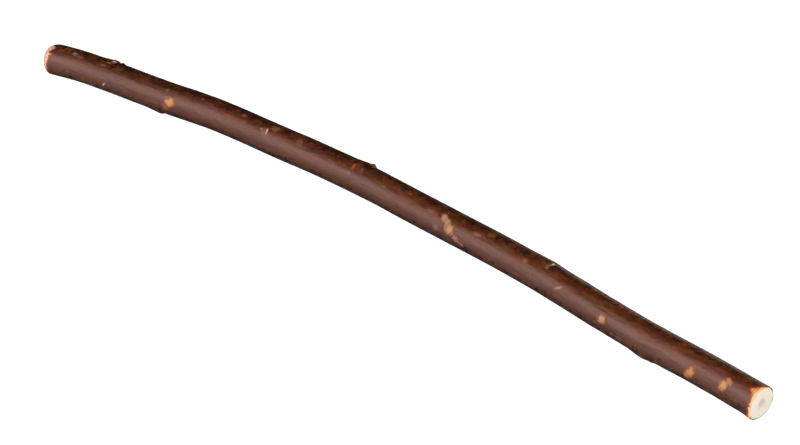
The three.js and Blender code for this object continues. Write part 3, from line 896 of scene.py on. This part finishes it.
# The waxy skin is uneven, so its gloss breaks up along the grain. Bared bark is matt. A bump
# stands for the relief that is finer than the mesh's own wrinkles.
SATIN = (0.39, 0.50)
MATT = 0.7
RELIEF_DEPTH = 0.34 * MM
gloss = add(tree, "ShaderNodeMapRange", {"Value": blotches, "From Min": 0.35, "From Max": 0.65,
                                         "To Min": SATIN[0], "To Max": SATIN[1]})
matt_share = add(tree, "ShaderNodeMath", {0: inside, 1: peeled}, operation="MAXIMUM")
gloss = add(tree, "ShaderNodeMix", {"Factor": matt_share, "A": gloss, "B": MATT}, data_type="FLOAT")
height = 0.0
for noise, how_much in ((streaks, 0.3), (blotches, 0.5), (grain, 0.22)):
    height = add(tree, "ShaderNodeMath", {0: noise, 1: how_much, 2: height}, operation="MULTIPLY_ADD")
bump = add(tree, "ShaderNodeBump", {"Height": height, "Strength": 1.0, "Distance": RELIEF_DEPTH})
shader = add(tree, "ShaderNodeBsdfPrincipled",
             {"Base Color": colour, "Roughness": gloss, "Normal": bump, "IOR": 1.5,
              "Specular Tint": srgb("#ffdcd4")})
add(tree, "ShaderNodeOutputMaterial", {"Surface": shader})


# ---- The twig's cut wood --------------------------------------------------------------------
# Sawn end grain of pale sapwood. It gives the eye a matt cream face with fine darker pores, a
# soft pinkish pith at the centre, and an orange-tan line of inner bark along part of the rim.

# The wood's pores are about 0.05 mm wide, too fine to show, so they are drawn at 0.3 mm. The
# bands of colour wander in and out over a few millimetres.
PORE_SIZE = 0.29308 * MM
WANDER_SIZE = 3.4636 * MM
PORE_DEPTH = 0.1 * MM
cut_wood, tree = new_material("sawn end grain")
face_place = add(tree, "ShaderNodeAttribute", attribute_name="face place").outputs["Vector"]
share_here = add(tree, "ShaderNodeAttribute", attribute_name="share").outputs["Fac"]
face_noise = add(tree, "ShaderNodeTexNoise",
                 {"Vector": face_place, "Scale": BASE_RADIUS / WANDER_SIZE, "Detail": 4.0})
uneven = add(tree, "ShaderNodeMapRange",
             {"Value": face_noise, **NOISE_SPAN, "To Min": -0.04, "To Max": 0.04})
ring_share = add(tree, "ShaderNodeMath", {0: share_here, 1: uneven}, operation="ADD")
# From the centre to the rim: pith, sapwood, and the dark line of the outer bark.
face_ramp = add(tree, "ShaderNodeValToRGB", {0: ring_share})
colour_stops(face_ramp, [(0.0, "#bfafa6"), (0.17, "#c0afa5"), (0.26, "#c9bbb0"), (0.36, "#d3cbbd"),
                         (0.6, "#d6cebe"), (0.89, "#d5cbb8"), (0.918, "#c2b7a4"), (0.942, "#3f3732")])
pores = add(tree, "ShaderNodeTexNoise",
            {"Vector": face_place, "Scale": BASE_RADIUS / PORE_SIZE, "Detail": 3.0})
pore_share = add(tree, "ShaderNodeMapRange", {"Value": pores, "From Min": 0.4, "From Max": 0.7,
                                              "To Max": 0.16})
face_colour = add(tree, "ShaderNodeMix", {"Factor": pore_share, "A": face_ramp, "B": srgb("#b8a58c")},
                  data_type="RGBA")
# The inner bark shows as a bright orange-tan line on the side where the saw came out.
SAW_SIDE = math.radians(65)
saw_facing = add(tree, "ShaderNodeVectorMath", {0: face_place, 1: out_at(SAW_SIDE)},
                 operation="DOT_PRODUCT").outputs["Value"]
saw_share = add(tree, "ShaderNodeMapRange", {"Value": saw_facing, "From Min": 0.2, "From Max": 0.5})
rim_share = add(tree, "ShaderNodeMapRange", {"Value": ring_share, "From Min": 0.90, "From Max": 0.95})
rim_share = add(tree, "ShaderNodeMath", {0: rim_share, 1: saw_share}, operation="MULTIPLY")
face_colour = add(tree, "ShaderNodeMix", {"Factor": rim_share, "A": face_colour, "B": srgb("#d49f70")},
                  data_type="RGBA")
face_bump = add(tree, "ShaderNodeBump", {"Height": pores, "Strength": 0.3, "Distance": PORE_DEPTH})
shader = add(tree, "ShaderNodeBsdfPrincipled",
             {"Base Color": face_colour, "Roughness": 0.75, "Normal": face_bump, "IOR": 1.5})
add(tree, "ShaderNodeOutputMaterial", {"Surface": shader})


# ---- The twig grown and set in its frame ----------------------------------------------------
# The blank goes through the tree above, becomes a plain mesh, and is moved so that its box has
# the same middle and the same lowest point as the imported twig.

grow_settings["Bark"] = ("NodeSocketMaterial", bark)
grow_settings["Cut wood"] = ("NodeSocketMaterial", cut_wood)
grow_mesh(twig, grow, grow_settings)

places = np.zeros(len(twig.data.vertices) * 3)
twig.data.vertices.foreach_get("co", places)
places = places.reshape(-1, 3)
low, high = places.min(axis=0), places.max(axis=0)
middle = (low + high) / 2
shift = np.array([twig_middle.x - middle[0], twig_middle.y - middle[1], twig_low.z - low[2]])
twig.data.vertices.foreach_set("co", (places + shift).ravel())
twig.data.update()
for helper in (pith, joint_marks, patch_marks):
    bpy.data.objects.remove(helper)

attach(twig, "root")
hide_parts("twig")


# ---- Lenticels ------------------------------------------------------------------------------
# The bark's breathing pores: small raised corky ovals, wider across the twig than along it.
# They grew out through the skin at random places, never closer than a few millimetres. Their
# loose, dry cork gives the eye small matt dots, a little greyer and paler than the bark.

CORK_SIZE = 1.1111 * MM
lenticel_cork, tree = new_material("lenticel cork")
cork_place = add(tree, "ShaderNodeTexCoord").outputs["Object"]
cork_grain = add(tree, "ShaderNodeTexNoise", {"Vector": cork_place, "Scale": 1 / CORK_SIZE, "Detail": 2.0})
cork_colour = add(tree, "ShaderNodeMix", {"Factor": cork_grain, "A": srgb("#4a2e23"), "B": srgb("#6a4839")},
                  data_type="RGBA")
shader = add(tree, "ShaderNodeBsdfPrincipled", {"Base Color": cork_colour, "Roughness": 0.6, "IOR": 1.5})
add(tree, "ShaderNodeOutputMaterial", {"Surface": shader})

# No lenticel stands nearer to an end than this, in millimetres, on a patch, or underneath,
# where the skin faces down by more than so much.
BARE_BASE = 9.0
BARE_TIP = 7.0
UNDERNEATH = -0.8
scatter_settings = {
    "Twig": ("NodeSocketObject", twig),
    "Cork": ("NodeSocketMaterial", lenticel_cork),
    "Closest": ("NodeSocketFloat", 4.4 * MM),
    "Most per square metre": ("NodeSocketFloat", 11000.0),
    # half sizes along the twig, around it and out of it
    "Smallest": ("NodeSocketVector", (0.22 * MM, 0.40 * MM, 0.07 * MM)),
    "Largest": ("NodeSocketVector", (0.40 * MM, 0.85 * MM, 0.13 * MM)),
    "Seed": ("NodeSocketInt", 11),
}
scatter = growing_tree("Scatter lenticels", scatter_settings)
given = add(scatter, "NodeGroupInput").outputs
twig_skin = add(scatter, "GeometryNodeObjectInfo", {"Object": given["Twig"]}).outputs["Geometry"]
on_straight = add(scatter, "GeometryNodeInputNamedAttribute", {"Name": "straight"},
                  data_type="FLOAT_VECTOR")
station_mm = add(scatter, "ShaderNodeSeparateXYZ", {0: on_straight}).outputs["X"]
past_base = add(scatter, "ShaderNodeMath", {0: station_mm, 1: SEED + BARE_BASE}, operation="GREATER_THAN")
before_tip = add(scatter, "ShaderNodeMath", {0: station_mm, 1: SEED + TWIG_LENGTH / MM - BARE_TIP},
                 operation="LESS_THAN")
patch_here = add(scatter, "GeometryNodeInputNamedAttribute", {"Name": "patch near"}, data_type="FLOAT")
off_patch = add(scatter, "ShaderNodeMath", {0: patch_here, 1: 0.2}, operation="LESS_THAN")
skin_way = add(scatter, "ShaderNodeSeparateXYZ", {0: add(scatter, "GeometryNodeInputNormal")}).outputs["Z"]
off_ground = add(scatter, "ShaderNodeMath", {0: skin_way, 1: UNDERNEATH}, operation="GREATER_THAN")
where = past_base
for also in (before_tip, off_patch, off_ground):
    where = add(scatter, "ShaderNodeMath", {0: where, 1: also}, operation="MULTIPLY")
seats = add(scatter, "GeometryNodeDistributePointsOnFaces",
            {"Mesh": twig_skin, "Selection": where, "Distance Min": given["Closest"],
             "Density Max": given["Most per square metre"], "Seed": given["Seed"]},
            distribute_method="POISSON")
turned = add(scatter, "FunctionNodeAlignRotationToVector", {"Vector": seats.outputs["Normal"]}, axis="Z")
twig_way = add(scatter, "GeometryNodeInputNamedAttribute", {"Name": "heading"}, data_type="FLOAT_VECTOR")
turned = add(scatter, "FunctionNodeAlignRotationToVector", {"Rotation": turned, "Vector": twig_way},
             axis="X", pivot_axis="Z")
sizes = add(scatter, "FunctionNodeRandomValue",
            {"Min": given["Smallest"], "Max": given["Largest"], "Seed": given["Seed"]},
            data_type="FLOAT_VECTOR")
dome = add(scatter, "GeometryNodeMeshUVSphere", {"Segments": 8, "Rings": 6, "Radius": 1.0})
domes = add(scatter, "GeometryNodeInstanceOnPoints",
            {"Points": seats, "Instance": dome, "Rotation": turned, "Scale": sizes})
domes = add(scatter, "GeometryNodeRealizeInstances", {"Geometry": domes})
domes = add(scatter, "GeometryNodeSetShadeSmooth", {"Geometry": domes})
domes = add(scatter, "GeometryNodeSetMaterial", {"Geometry": domes, "Material": given["Cork"]})
add(scatter, "NodeGroupOutput", {"Geometry": domes})

lenticels = in_scene("lenticels", bpy.data.meshes.new("lenticels"))
grow_mesh(lenticels, scatter, scatter_settings)
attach(lenticels, "root")


# ---- Floor and light ------------------------------------------------------------------------
# A plain white studio floor, a long soft light in front of the twig and above it, a smaller one
# off its tip for the cut face, and a low strip behind for the grey line along the top edge.

floor_mesh = bpy.data.meshes.new("floor")
FLOOR_HALF = 6.0
floor_mesh.from_pydata([(-FLOOR_HALF, -FLOOR_HALF, 0), (FLOOR_HALF, -FLOOR_HALF, 0),
                        (FLOOR_HALF, FLOOR_HALF, 0), (-FLOOR_HALF, FLOOR_HALF, 0)], [], [(0, 1, 2, 3)])
floor = in_scene("floor", floor_mesh)

# Matt white paint, lit evenly from below. It gives the eye plain white with no shadow on it. It
# throws less light up at the twig than it shows, and hardly any from close by.
FLOOR_GLOW = 1.0
FLOOR_GLOW_BY_TWIG = 0.06
FLOOR_GLOW_IN_FRONT = 0.75
GLOW_FULL_AT = -50 * MM
GLOW_FADED_AT = -10 * MM
floor_paint, tree = new_material("white studio floor")
floor_place = add(tree, "ShaderNodeTexCoord").outputs["Object"]
floor_y = add(tree, "ShaderNodeSeparateXYZ", {0: floor_place}).outputs["Y"]
on_twig = add(tree, "ShaderNodeMapRange",
              {"Value": floor_y, "From Min": GLOW_FULL_AT, "From Max": GLOW_FADED_AT,
               "To Min": FLOOR_GLOW_IN_FRONT, "To Max": FLOOR_GLOW_BY_TWIG})
seen = add(tree, "ShaderNodeLightPath").outputs["Is Camera Ray"]
glow = add(tree, "ShaderNodeMapRange", {"Value": seen, "To Min": on_twig, "To Max": FLOOR_GLOW})
paint = add(tree, "ShaderNodeMix", {"Factor": seen, "A": srgb("#303030"), "B": srgb("#7c7c7c")},
            data_type="RGBA")
shader = add(tree, "ShaderNodeBsdfPrincipled",
             {"Base Color": paint, "Roughness": 1.0, "Specular IOR Level": 0.0,
              "Emission Color": srgb("#ffffff"), "Emission Strength": glow})
add(tree, "ShaderNodeOutputMaterial", {"Surface": shader})
floor_mesh.materials.append(floor_paint)

WALLS_SEEN = 1.0
WALLS_ON_TWIG = 0.004
world = bpy.data.worlds.new("studio")
bpy.context.scene.world = world
world.use_nodes = True
tree = world.node_tree
tree.nodes.clear()
seen = add(tree, "ShaderNodeLightPath").outputs["Is Camera Ray"]
walls = add(tree, "ShaderNodeMapRange", {"Value": seen, "To Min": WALLS_ON_TWIG, "To Max": WALLS_SEEN})
background = add(tree, "ShaderNodeBackground", {"Color": srgb("#ffffff"), "Strength": walls})
add(tree, "ShaderNodeOutputWorld", {"Surface": background})

# Places and sides are metres, rolls are degrees and powers are watts.
LIGHTS = {
    "long front light": dict(at=(-0.03, -0.69, 0.575), faces=(0.0, 0, 0), roll=13.5, long=1.8, short=0.84,
                             power=20.8, colour=(1.0, 1.0, 1.0)),
    "tip light": dict(at=(1.1, -0.35, 0.35), faces=(0.2, 0, 0), roll=0, long=0.6, short=0.6,
                      power=10.8, colour=(1.0, 1.0, 1.0)),
    "back strip": dict(at=(0.02, 0.7, 0.02), faces=(0.15, 0, 0), roll=0, long=0.5, short=0.10,
                       power=1.0, colour=(1.0, 0.80, 0.66)),
}
for name, lamp in LIGHTS.items():
    light_data = bpy.data.lights.new(name, "AREA")
    light_data.shape = "RECTANGLE"
    light_data.size = lamp["long"]
    light_data.size_y = lamp["short"]
    light_data.energy = lamp["power"]
    light_data.color = lamp["colour"]
    light = in_scene(name, light_data)
    light.location = lamp["at"]
    facing_turn = (Vector(lamp["faces"]) - Vector(lamp["at"])).to_track_quat("-Z", "Y")
    light.rotation_euler = (facing_turn @ Quaternion((0, 0, 1), math.radians(lamp["roll"]))).to_euler()

bpy.context.scene.view_settings.view_transform = "Standard"
